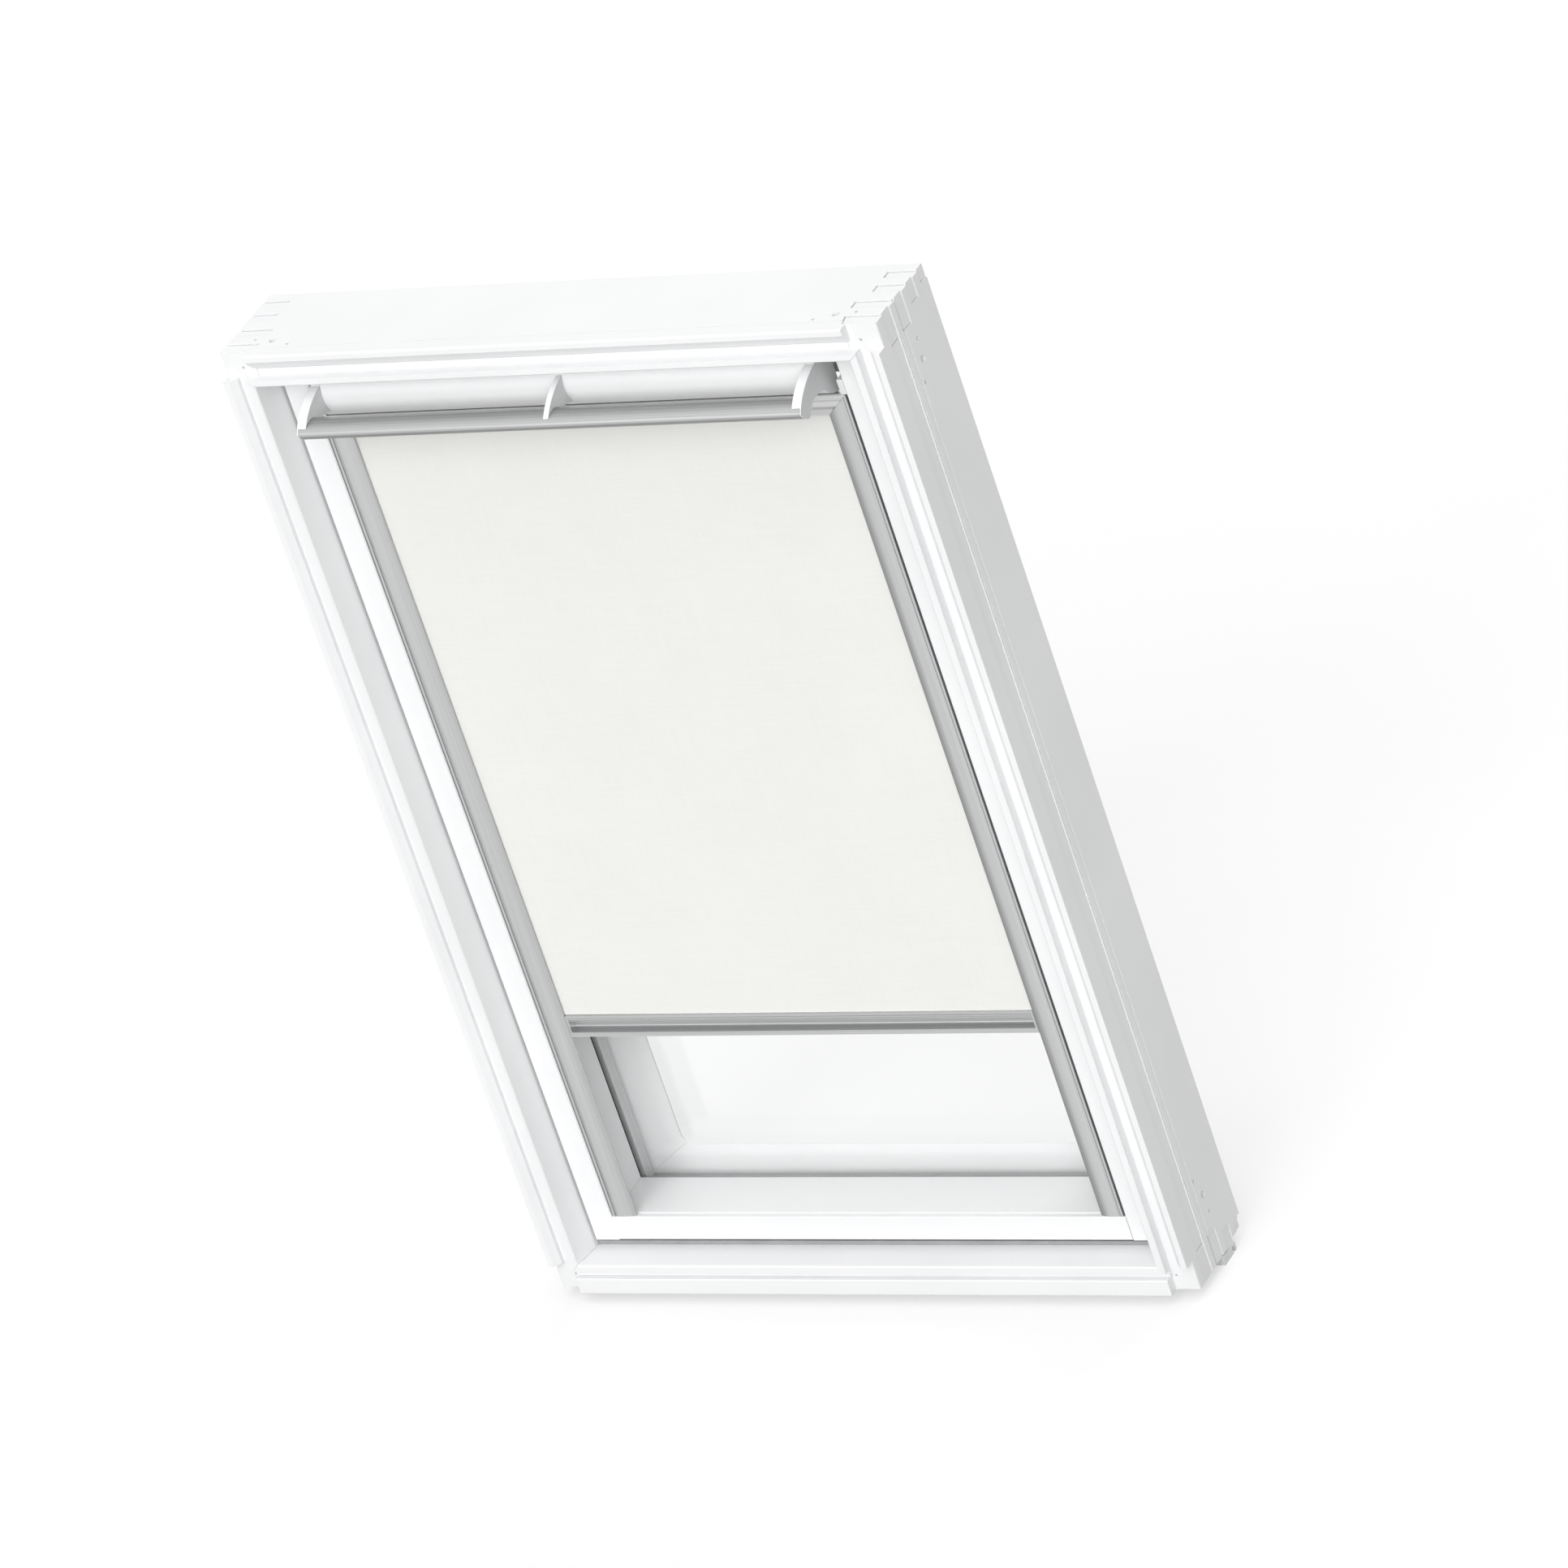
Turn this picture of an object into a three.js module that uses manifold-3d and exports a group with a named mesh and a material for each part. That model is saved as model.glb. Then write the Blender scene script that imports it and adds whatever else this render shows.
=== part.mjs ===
// A centre-pivot roof window with its roller blind, standing upright as seen from the room.
// Millimetres. X runs across the window, Y from the room to the weather side, Z up the slope.
// The origin is the middle of the frame in the plane of its room face.
import * as THREE from 'three';
import { mergeVertices } from 'three/addons/utils/BufferGeometryUtils.js';
import Module from 'manifold-3d';

const wasm = await Module();
wasm.setup();

// Clearances
const fit = 0.3;
const overrun = 6;
const runningGap = 0.4;

// Frame
const frameWidth = 780;
const frameHeight = 1178;
const frameDepth = 126.5;
const grooveDepth = 11.8;
const arris = 1.4;

// Side members, from the outer face inwards
const sideStripWidth = 6.7;
const sideBevelWidth = 6.85;
const sideBevelDepth = 6.7;
const sideGrooveWidth = 13.6;
const sideLipWidth = 9.35;
const splayWidth = 6.5;
const splayDepth = 35;
const rebateStep = 10.5;
const rebateDepth = 53.5;
const millingLength = 29.7;
const lowerMillingLength = 35.6;

// Top and bottom members
const memberHeight = 37;
const lipHeight = 8;
const topGrooveHeight = 8.3;
const topStripNose = 7.5;
const topStripRound = 2;
const topStripDepth = 17.7;
const topStripEndInset = 35;
const bottomGrooveDepth = 6.9;
const bottomGrooveHeight = 9.3;
const bottomStripEndInset = 28.5;
const firstStepHeight = 14.5;
const firstStepInset = 46.5;
const secondStepHeight = 8.5;
const secondStepInset = 20.5;
const lowerBackInset = 24.7;
const lowerBackRise = 4.7;
const lowerBackCut = 5.5;
const lowerBackCutHeight = 18;

// Finger joints: where one finger ends and the next begins, as shares of the frame's depth
const fingerEdgeShares = [0.22, 0.342, 0.444, 0.584, 0.687, 0.798, 0.896];
const fingerSlot = 1.9;
const fingerEndGap = 1;
const fingerEndDepth = 6;
const fingerSink = 1.3;
const fingerRelief = 3;
const cornerRound = 2.5;

// Grooves and drillings in the outer faces
const firstGrooveEnd = 45.2;
const firstGrooveWidth = 18.2;
const firstGrooveDepth = 1.3;
const secondGrooveEnd = 48.6;
const secondGrooveWidth = 2.2;
const secondGrooveDepth = 1.1;
const thirdGrooveEnd = 58.9;
const thirdGrooveWidth = 2.5;
const thirdGrooveDepth = 0.5;
const largeHoleRadius = 4.2;
const smallHoleRadius = 2.1;
const holeDepth = 4.5;
const sideHoleInset = 79;
const sideHoleDepth = 72.6;
const screwPitch = 22.3;
const topHoleInset = 55;
const sideScrewOffset = 2.4;
const sideScrewDrop = 8.8;
const topHoleDepth = 32;
const topScrewOffset = 3.2;
const topScrewDrop = 8.2;

// Corner pins
const pinRadius = 1.2;
const pinLength = 40;
const pinInsetX = 23;
const pinInsetZ = 19;

// Sealing strip, drip bar and weather-side covers of the frame
const sealStart = 40.3;
const sealDepth = 5.7;
const sealHeight = 4.7;
const dripStart = 71.4;
const dripDepth = 29.8;
const dripHeight = 10.3;
const dripGrooveWidth = 4.5;
const dripGrooveHeight = 7;
const dripNose = 22.1;
const coverSheet = 1.2;
const coverReach = 3;
const coverLap = 18.5;
const coverTurnGap = 4.5;
const coverEndInset = 19;

// Sash
const pivotDepth = 70;
const sashSideGap = 2.95;
const sashEndGap = 9.85;
const sashFace = 35;
const sashArris = 1.2;
const stileWidth = 29.95;
const railHeight = 29.75;
const topRailHeight = 52;
const topRailFace = 88;
const ledgeDepth = 109;
const sashLipWidth = 11.75;
const railLipHeight = 8.35;
const railStepStart = 3.2;
const railStepWidth = 5.7;
const railStepDepth = 1.2;

// Glass unit and its flange
const gasketThickness = 1.9;
const gasketWidth = 14;
const paneThickness = 4;
const unitThickness = 24;
const glassSideClearance = 0.8;
const sideSpacerWidth = 21;
const endSpacerWidth = 11.5;
const sashCoverSheet = 2;
const sashCoverWidth = 81.7;
const sashCoverHeight = 56.2;
const sashCoverCorner = 15;

// Pivots
const axleRadius = 8;
const sashPlateThickness = 6;
const sashPlateWidth = 40;
const sashPlateHeight = 120;
const framePlateWidth = 50;
const framePlateHeight = 130;
const axleReach = 8.7;

// Lock
const lockWidth = 90;
const lockDepth = 13;
const lockHeight = 22;
const lockStart = 92;
const strikerWidth = 80;
const strikerDepth = 15;
const strikerGap = 4;
const strikerTipGap = 7.5;

// Ventilation flap with its arms and control bar
const flapAxisDepth = 51.5;
const flapAxisDrop = 14.85;
const flapRadius = 35;
const flapWall = 2;
const flapTopRise = 16.2;
const flapAxleRadius = 4;
const armInset = 14.6;
const armWidth = 10.7;
const armPlate = 1.2;
const middleArmWidth = 6;
const barReach = 84;
const barDrop = 14.5;
const barWall = 2.5;

// Blind
const cassetteDrop = 1.1;
const cassetteRise = 2;
const cassetteHeight = 24;
const cassetteFace = 36.2;
const cassetteDepth = 31.8;
const cassetteWall = 1.5;
const cassetteStep = 1.5;
const cassetteEndInset = 4.1;
const capThickness = 6;
const rollRadius = 9.8;
const rollPinRadius = 3;
const bracketFoot = 12.8;
const bracketToe = 6.8;
const bracketHeight = 17.5;
const bracketDepth = 26;
const bracketFootThickness = 3.5;
const channelStandOff = 2.4;
const channelWidth = 27.2;
const channelFace = 38.2;
const channelCrown = 2.8;
const channelBack = 54;
const channelWall = 1.5;
const channelReturn = 13.7;
const channelFlange = 2.6;
const channelFlangeGroove = 1.3;
const channelGrooveDepth = 1.4;
const fabricDepth = 41;
const fabricThickness = 0.5;
const fabricEdge = 11.5;
const blindDrop = 724.4;
const hemHeight = 26.3;
const hemDepth = 12.2;
const hemGripDepth = 10;
const hemEndPlate = 2.5;
const hemGrooveWidth = 1;
const hemGrooveDepth = 0.6;
const hemGrooveShares = [0.09, 0.18];
const runnerWidth = 20;
const runnerHeight = 20;

// Front of the cassette from its lower edge up: height and how far in, as shares of the cassette's
// height and of its step
const cassetteFrontShares = [
  [0, 1.2], [0.27, 1], [0.31, 0.85], [0.42, 0.1], [0.46, 0], [0.6, 0.1], [0.66, 0.3], [0.69, 0.75], [0.73, 0.7],
  [0.76, 0.1], [0.88, 0.15], [0.95, 0.4], [0.98, 0.7], [1, 1.1],
];

// The hollow for the fingers in the hem bar: how far down and how far in, as shares of the bar's
// height and of the hollow's depth
const hemGripShares = [
  [0.24, 0], [0.245, 0.4], [0.27, 0.75], [0.34, 0.95], [0.42, 1], [0.62, 1], [0.68, 0.985],
  [0.72, 0.93], [0.75, 0.8], [0.77, 0.6], [0.785, 0.3], [0.79, 0],
];

// Horn of a flap arm: the inner points of its two curves, as shares of bar reach and flap radius
const hornTopShares = [[0.637, 0.291], [0.899, -0.05]];
const hornUnderShares = [[0.72, -0.43], [0.506, -0.366]];
const hornTopAngle = 158;
const hornUnderAngle = 215;

// How many straight pieces stand for a curve
const bigCircle = 96;
const circle = 40;
const smallCircle = 20;
const longCurve = 24;
const shortCurve = 12;
const cornerCurve = 8;
const edgeCurve = 4;

// Sizes worked out from those
const halfWidth = frameWidth / 2;
const halfHeight = frameHeight / 2;
const rebateStart = frameDepth - rebateDepth;
const firstStepDepth = frameDepth - firstStepInset;
const secondStepDepth = frameDepth - secondStepInset;
const strikerStart = firstStepDepth + strikerGap;
const lowerBackStart = frameDepth - lowerBackInset;
const sideStripInner = halfWidth - sideStripWidth;
const sideGrooveOuter = sideStripInner - sideBevelWidth;
const lipOuter = sideGrooveOuter - sideGrooveWidth;
const lipInner = lipOuter - sideLipWidth;
const sideWall = lipInner - splayWidth;
const sideRebate = sideWall + rebateStep;
const endWall = halfHeight - memberHeight;
const lipEnd = endWall + lipHeight;
const topStripInner = lipEnd + topGrooveHeight;
const bottomStripInner = lipEnd + bottomGrooveHeight;
const firstStep = endWall + firstStepHeight;
const secondStep = firstStep + secondStepHeight;
const sashHalfWidth = sideWall - sashSideGap;
const sashHalfHeight = endWall - sashEndGap;
const stileInner = sashHalfWidth - stileWidth;
const sashLipInner = sashHalfWidth - sashLipWidth;
const railInner = sashHalfHeight - railHeight;
const glassHalfWidth = sashLipInner - glassSideClearance;
const glassHalfHeight = sashHalfHeight - railLipHeight - glassSideClearance;
const paneStart = ledgeDepth + fit + gasketThickness + fit;
const unitEnd = paneStart + unitThickness;
const flapAxis = sashHalfHeight - flapAxisDrop;
const flapBottom = flapAxis - flapRadius;
const armOuter = stileInner - armInset;
const armInner = armOuter - armWidth;
const cassetteTop = flapBottom - cassetteDrop;
const cassetteFront = cassetteTop + cassetteRise;
const cassetteBottom = cassetteFront - cassetteHeight;
const cassetteEnd = stileInner - cassetteEndInset;
const channelOuter = stileInner - channelStandOff;
const channelInner = channelOuter - channelWidth;
const rollDepth = fabricDepth + fabricThickness + fit + rollRadius;
const rollHeight = cassetteTop - cassetteWall - runningGap - fit - rollRadius;
const hemTop = cassetteBottom - blindDrop;
const hemBottom = hemTop - hemHeight;
const hemEnd = channelInner - fit;

// Materials
const look = (color, roughness, metalness = 0) =>
  new THREE.MeshStandardMaterial({ color, roughness, metalness });
const white = look(0xf3f3f0, 0.45);
const lacquer = look(0xf0f0ec, 0.4);
const grey = look(0xb4b6b6, 0.6);
const darkRubber = look(0x3a3b3c, 0.8);
const aluminium = look(0xbfc1c1, 0.35, 0.8);
const steel = look(0x9a9c9e, 0.4, 0.9);
const sheetMetal = look(0x6a6d6f, 0.5, 0.7);
const spacerGrey = look(0x55585a, 0.5, 0.4);
const clearGlass = look(0xdfe9ea, 0.05);
const cloth = look(0xf1f1ec, 0.9);
const plastic = look(0xe9e9e6, 0.5);

// Closed solids from three.js geometry
function solid(geometry) {
  geometry.deleteAttribute('normal');
  geometry.deleteAttribute('uv');
  const merged = mergeVertices(geometry, 1e-4);
  const vertProperties = Float32Array.from(merged.attributes.position.array);
  const triVerts = Uint32Array.from(merged.index.array);
  return new wasm.Manifold(new wasm.Mesh({ numProp: 3, vertProperties, triVerts }));
}

function axesMatrix(along) {
  const x = new THREE.Vector3(1, 0, 0);
  const y = new THREE.Vector3(0, 1, 0);
  const z = new THREE.Vector3(0, 0, 1);
  const bases = { X: [y, z, x], Y: [z, x, y], Z: [x, y, z] };
  return new THREE.Matrix4().makeBasis(...bases[along]);
}

// An outline pushed along an axis: (y, z) points for X, (z, x) for Y and (x, y) for Z
function prism(along, points, from, to) {
  const shape = new THREE.Shape(points.map(([a, b]) => new THREE.Vector2(a, b)));
  const low = Math.min(from, to);
  const high = Math.max(from, to);
  const geometry = new THREE.ExtrudeGeometry(shape, { depth: high - low, bevelEnabled: false });
  geometry.translate(0, 0, low);
  geometry.applyMatrix4(axesMatrix(along));
  return solid(geometry);
}

function box([x0, x1], [y0, y1], [z0, z1]) {
  const geometry = new THREE.BoxGeometry(Math.abs(x1 - x0), Math.abs(y1 - y0), Math.abs(z1 - z0));
  geometry.translate((x0 + x1) / 2, (y0 + y1) / 2, (z0 + z1) / 2);
  return solid(geometry);
}

// A round bar along an axis, its centre given in the two other directions
function rod(along, radius, from, to, a, b, segments = circle) {
  const geometry = new THREE.CylinderGeometry(radius, radius, Math.abs(to - from), segments);
  geometry.rotateX(Math.PI / 2);
  geometry.translate(a, b, (from + to) / 2);
  geometry.applyMatrix4(axesMatrix(along));
  return solid(geometry);
}

const flip = (side, points) => points.map(([x, y]) => [side * x, y]);
const join = (first, ...others) => others.reduce((sum, other) => sum.add(other), first);
const cut = (first, ...others) => others.reduce((rest, other) => rest.subtract(other), first);

function arc(centreA, centreB, radius, fromDeg, toDeg, steps) {
  return Array.from({ length: steps + 1 }, (_, i) => {
    const angle = THREE.MathUtils.degToRad(fromDeg + (toDeg - fromDeg) * i / steps);
    return [centreA + radius * Math.cos(angle), centreB + radius * Math.sin(angle)];
  });
}

function bezier(p0, p1, p2, p3, steps) {
  const curve = new THREE.CubicBezierCurve(...[p0, p1, p2, p3].map((p) => new THREE.Vector2(...p)));
  return curve.getPoints(steps).map((p) => [p.x, p.y]);
}

const model = new THREE.Group();

function piece(name, body, material) {
  const { vertProperties, triVerts, numProp } = body.getMesh();
  const positions = new Float32Array(vertProperties.length / numProp * 3);
  for (let i = 0; i * numProp < vertProperties.length; i += 1) {
    positions.set(vertProperties.subarray(i * numProp, i * numProp + 3), i * 3);
  }
  const geometry = new THREE.BufferGeometry();
  geometry.setAttribute('position', new THREE.BufferAttribute(positions, 3));
  geometry.setIndex(new THREE.BufferAttribute(Uint32Array.from(triVerts), 1));
  geometry.computeVertexNormals();
  const mesh = new THREE.Mesh(geometry, material);
  mesh.name = name;
  model.add(mesh);
}

const sides = { left: -1, right: 1 };
const ends = { top: 1, bottom: -1 };

// Section of a side member, (x, y)
function sideOutline() {
  return [
    [halfWidth, 0],
    [halfWidth, frameDepth],
    [sideRebate, frameDepth],
    [sideRebate, rebateStart],
    [sideWall, rebateStart],
    [sideWall, splayDepth],
    [lipInner, arris],
    [lipInner + arris, 0],
    [lipOuter, 0],
    [lipOuter, grooveDepth],
    [sideGrooveOuter, grooveDepth],
    [sideGrooveOuter, sideBevelDepth],
    [sideStripInner, 0],
  ];
}

// The room that a side member takes, with the gap round it and past its outer and back faces
function sideRoom(gap) {
  return [
    [halfWidth + overrun, -overrun],
    [halfWidth + overrun, frameDepth + overrun],
    [sideRebate - gap, frameDepth + overrun],
    [sideRebate - gap, rebateStart - gap],
    [sideWall - gap, rebateStart - gap],
    [sideWall - gap, splayDepth],
    [lipInner - gap, 0],
    [lipInner - gap, -overrun],
  ];
}

// Section of the top or bottom member, (y, z)
function endOutline(end) {
  const stripInner = end > 0 ? topStripInner : bottomStripInner;
  const floor = end > 0 ? grooveDepth : bottomGrooveDepth;
  const seat = end > 0 ? topStripDepth : grooveDepth;
  return [
    [0, lipEnd],
    [0, endWall + arris],
    [arris, endWall],
    [firstStepDepth, endWall],
    [firstStepDepth, firstStep],
    [secondStepDepth, firstStep],
    [secondStepDepth, secondStep],
    [frameDepth, secondStep],
    [frameDepth, halfHeight],
    [seat, halfHeight],
    [seat, stripInner - fit],
    [floor, stripInner - fit],
    [floor, lipEnd],
  ].map(([y, z]) => [y, end * z]);
}

// The room that an end member takes, with the gap round it
function endRoom(end, gap) {
  return [
    [-overrun, endWall - gap],
    [firstStepDepth + gap, endWall - gap],
    [firstStepDepth + gap, firstStep - gap],
    [secondStepDepth + gap, firstStep - gap],
    [secondStepDepth + gap, secondStep - gap],
    [frameDepth + overrun, secondStep - gap],
    [frameDepth + overrun, halfHeight + overrun],
    [-overrun, halfHeight + overrun],
  ].map(([y, z]) => [y, end * z]);
}

const fingerEdges = [grooveDepth, ...fingerEdgeShares.map((share) => share * frameDepth), frameDepth + overrun];
const fingers = fingerEdges.slice(1).map((edge, i) => ({
  owner: i % 2 === 0 ? 'side' : 'end',
  from: fingerEdges[i],
  to: edge,
}));

const wholeWidth = [-frameWidth, frameWidth];
const wholeHeight = [-frameHeight, frameHeight];

// What the corner fingers of one member take out of the other one: their room, with the slot
// behind each finger of a side member, and near the outer faces a wider gap at the finger's end
function fingerCutters(owner, block) {
  const coreX = halfWidth - fingerEndDepth;
  const coreZ = halfHeight - fingerEndDepth;
  const core = box([-coreX, coreX], [-frameDepth, frameDepth + frameDepth], [-coreZ, coreZ]);
  const outerRoom = block(fingerEndGap).subtract(core);
  const cutter = block(fit).add(outerRoom);
  return fingers.filter((finger) => finger.owner === owner).map(({ from, to }) => {
    const low = owner === 'side' ? from - fit : from - fingerSlot + fit;
    return cutter.intersect(box(wholeWidth, [low, to], wholeHeight));
  });
}

const sideBlock = (side, gap) => prism('Z', flip(side, sideRoom(gap)), ...wholeHeight);
const endBlock = (end, gap) => prism('X', endRoom(end, gap), ...wholeWidth);

// The ends of the fingers lie a little below the face they come out of
function fingerSinks(owner, side, end) {
  return fingers.filter((finger) => finger.owner === owner).map(({ from, to }) => {
    const x = owner === 'end' ? [side * (halfWidth - fingerSink), side * frameWidth] : wholeWidth;
    const z = owner === 'side' ? [end * (halfHeight - fingerSink), end * frameHeight] : wholeHeight;
    return box(x, [from, to], z);
  });
}

// The room-side lips meet on a mitre; this wedge lies beyond it, on the side asked for
function mitreWedge(side, end, beyond, shift) {
  const inner = [end * (endWall + shift), side * lipInner];
  const outer = [end * (lipEnd + shift), side * lipOuter];
  const far = end * (beyond ? halfHeight + overrun : endWall - memberHeight);
  const inside = side * (sideWall - overrun);
  const points = beyond
    ? [[inner[0], inside], inner, outer, [far, side * lipOuter], [far, inside]]
    : [inner, outer, [outer[0], side * (halfWidth + overrun)], [far, side * (halfWidth + overrun)],
      [far, side * lipInner]];
  return prism('Y', points, -overrun, grooveDepth - fit);
}

// Where the lower back edge of the frame steps in
function lowerBackCuts() {
  const wide = [-halfWidth - overrun, halfWidth + overrun];
  const below = -halfHeight - overrun;
  const backStep = frameDepth - lowerBackCut;
  return [
    box(wide, [lowerBackStart, frameDepth + overrun], [below, -halfHeight + lowerBackRise]),
    box(wide, [backStep, frameDepth + overrun], [below, -halfHeight + lowerBackCutHeight]),
  ];
}

function cornerPin(side, end, grow) {
  const z = end * (halfHeight - pinInsetZ);
  const x = side * (halfWidth - pinInsetX);
  const head = grow > 0 ? grooveDepth - overrun : grooveDepth;
  return rod('Y', pinRadius + grow, head, grooveDepth + pinLength + grow, z, x, smallCircle);
}

function sideHoles(side) {
  const span = [side * (halfWidth - holeDepth), side * (halfWidth + overrun)];
  return Object.values(ends).flatMap((end) => {
    const z = end * (halfHeight - sideHoleInset);
    const outerZ = z + end * screwPitch;
    const innerZ = z - end * screwPitch;
    return [
      rod('X', largeHoleRadius, ...span, sideHoleDepth, z, smallCircle),
      rod('X', smallHoleRadius, ...span, sideHoleDepth + sideScrewOffset, outerZ, smallCircle),
      rod('X', smallHoleRadius, ...span, sideHoleDepth - sideScrewDrop, innerZ, smallCircle),
    ];
  });
}

function topHoles() {
  const span = [halfHeight - holeDepth, halfHeight + overrun];
  return Object.values(sides).flatMap((side) => {
    const x = side * (halfWidth - topHoleInset);
    const outerX = x + side * screwPitch;
    const innerX = x - side * screwPitch;
    return [
      rod('Z', largeHoleRadius, ...span, x, topHoleDepth, smallCircle),
      rod('Z', smallHoleRadius, ...span, outerX, topHoleDepth + topScrewOffset, smallCircle),
      rod('Z', smallHoleRadius, ...span, innerX, topHoleDepth - topScrewDrop, smallCircle),
    ];
  });
}

function pivotPocket(side) {
  const high = framePlateHeight / 2 + fit;
  const inner = sideWall - splayWidth;
  return box([side * inner, side * sideRebate], framePlateSpan(fit), [-high, high]);
}

function framePlateSpan(grow) {
  return [pivotDepth - framePlateWidth / 2 - grow, pivotDepth + framePlateWidth / 2 + grow];
}

// The broad shallow groove and the two fine ones along the outer face; the second one stops short
// of the corners
function sideGrooves(side) {
  const groove = (end, width, depth, half) =>
    box([side * (halfWidth - depth), side * frameWidth], [end - width, end], [-half, half]);
  return [
    groove(firstGrooveEnd, firstGrooveWidth, firstGrooveDepth, frameHeight),
    groove(secondGrooveEnd, secondGrooveWidth, secondGrooveDepth, endWall - fit),
    groove(thirdGrooveEnd, thirdGrooveWidth, thirdGrooveDepth, frameHeight),
  ];
}

// At the corners the room side is milled back to the groove's floor, with a rounded outer edge
function cornerMilling(side, end) {
  const milling = end > 0 ? millingLength : lowerMillingLength;
  const r = cornerRound;
  const section = [
    [lipOuter + fit, -overrun],
    [lipOuter + fit, grooveDepth],
    ...arc(halfWidth - r, grooveDepth + r, r, -90, 0, edgeCurve),
    [halfWidth + overrun, grooveDepth + r],
    [halfWidth + overrun, -overrun],
  ];
  return prism('Z', flip(side, section), end * (halfHeight - milling), end * (halfHeight + overrun));
}

function frameSides() {
  for (const [name, side] of Object.entries(sides)) {
    const member = cut(
      prism('Z', flip(side, sideOutline()), -halfHeight, halfHeight),
      ...Object.values(ends).flatMap((end) => fingerCutters('end', (gap) => endBlock(end, gap))),
      ...Object.values(ends).flatMap((end) => fingerSinks('side', side, end)),
      ...Object.values(ends).map((end) => mitreWedge(side, end, true, -fit / 2)),
      ...Object.values(ends).map((end) => cornerMilling(side, end)),
      ...Object.values(ends).map((end) => cornerPin(side, end, fit)),
      ...sideGrooves(side),
      ...lowerBackCuts(),
      ...sideHoles(side),
      pivotPocket(side),
    );
    piece(`frame_side_${name}`, member, lacquer);
  }
}

function frameEnds() {
  for (const [name, end] of Object.entries(ends)) {
    const member = cut(
      prism('X', endOutline(end), -halfWidth, halfWidth),
      ...Object.values(sides).flatMap((side) => fingerCutters('side', (gap) => sideBlock(side, gap))),
      ...Object.values(sides).flatMap((side) => fingerSinks('end', side, end)),
      ...Object.values(sides).map((side) => box([side * (halfWidth - fingerRelief), side * frameWidth],
        [firstGrooveEnd, thirdGrooveEnd], wholeHeight)),
      ...Object.values(sides).map((side) => mitreWedge(side, end, false, fit / 2)),
      ...Object.values(sides).map((side) => {
        const x = [side * lipOuter, side * (halfWidth + overrun)];
        return box(x, [-overrun, grooveDepth], [end * endWall, end * (halfHeight + overrun)]);
      }),
      ...Object.values(sides).map((side) => cornerPin(side, end, fit)),
      ...(end > 0 ? topHoles() : lowerBackCuts()),
    );
    piece(`frame_${name}`, member, lacquer);
  }
}

function frameStrips() {
  const round = topStripRound;
  const seat = topStripDepth - fit;
  const nose = halfHeight - topStripNose;
  const topSection = [
    [0, nose],
    [0, halfHeight - round],
    ...arc(round, halfHeight - round, round, 180, 90, edgeCurve).slice(1),
    [seat, halfHeight],
    [seat, topStripInner],
    [grooveDepth, topStripInner],
  ];
  const topEnd = halfWidth - topStripEndInset;
  const top = cut(
    prism('X', topSection, -topEnd, topEnd),
    ...Object.values(sides).map((side) => sideBlock(side, fit).intersect(
      box(wholeWidth, [grooveDepth - fit, frameDepth], [endWall, frameHeight]))),
  );
  piece('frame_strip_top', top, lacquer);

  const back = grooveDepth - fit;
  const bottomSection = [
    ...arc(arris, -halfHeight + arris, arris, 270, 180, edgeCurve),
    ...arc(arris, -bottomStripInner - arris, arris, 180, 90, edgeCurve),
    [back, -bottomStripInner],
    [back, -halfHeight],
  ];
  const bottomEnd = halfWidth - bottomStripEndInset;
  piece('frame_strip_bottom', prism('X', bottomSection, -bottomEnd, bottomEnd), lacquer);
}

function cornerPins() {
  for (const [endName, end] of Object.entries(ends)) {
    for (const [sideName, side] of Object.entries(sides)) {
      piece(`corner_pin_${endName}_${sideName}`, cornerPin(side, end, 0), steel);
    }
  }
}

function frameTrim() {
  const sealHalf = sideWall - fit;
  const sealZ = [-endWall + fit, -endWall + fit + sealHeight];
  piece('frame_seal_bottom', box([-sealHalf, sealHalf], [sealStart, sealStart + sealDepth], sealZ), grey);

  const dripTop = -halfHeight - fit;
  const dripBottom = dripTop - dripHeight;
  const noseEnd = dripStart + dripNose;
  const grooveZ = [dripBottom - overrun, dripBottom + dripGrooveHeight];
  const drip = cut(
    box([-halfWidth, halfWidth], [dripStart, dripStart + dripDepth], [dripBottom, dripTop]),
    box(wholeWidth, [noseEnd, noseEnd + dripGrooveWidth], grooveZ),
  );
  piece('drip_bar', drip, plastic);
}

// Sheet-metal angles on the weather side: one leg on the frame's back, one turned into the rebate
function frameCovers() {
  const back = [frameDepth + fit, frameDepth + fit + coverSheet];
  const turn = [secondStepDepth + coverTurnGap, frameDepth + fit + coverSheet];
  const sideFrom = sideWall + coverReach / 2;
  const sideTo = sideRebate + coverLap;
  const turnTo = sideRebate - fit;
  const sideHalf = halfHeight - coverEndInset;
  for (const [name, side] of Object.entries(sides)) {
    const legs = join(
      box([side * sideFrom, side * sideTo], back, [-sideHalf, sideHalf]),
      box([side * (turnTo - coverSheet), side * turnTo], turn, [-secondStep + fit, secondStep - fit]),
    );
    piece(`frame_cover_${name}`, legs, sheetMetal);
  }
  const endHalf = sideFrom - fit;
  for (const [name, end] of Object.entries(ends)) {
    const from = end * (endWall - coverReach);
    const to = end * (secondStep + coverReach);
    const turnZ = [end * (secondStep - fit - coverSheet), end * (secondStep - fit)];
    const legs = join(
      box([-endHalf, endHalf], back, [from, to]),
      box([-endHalf, endHalf], turn, turnZ),
    );
    piece(`frame_cover_${name}`, legs, sheetMetal);
  }
}

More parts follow.
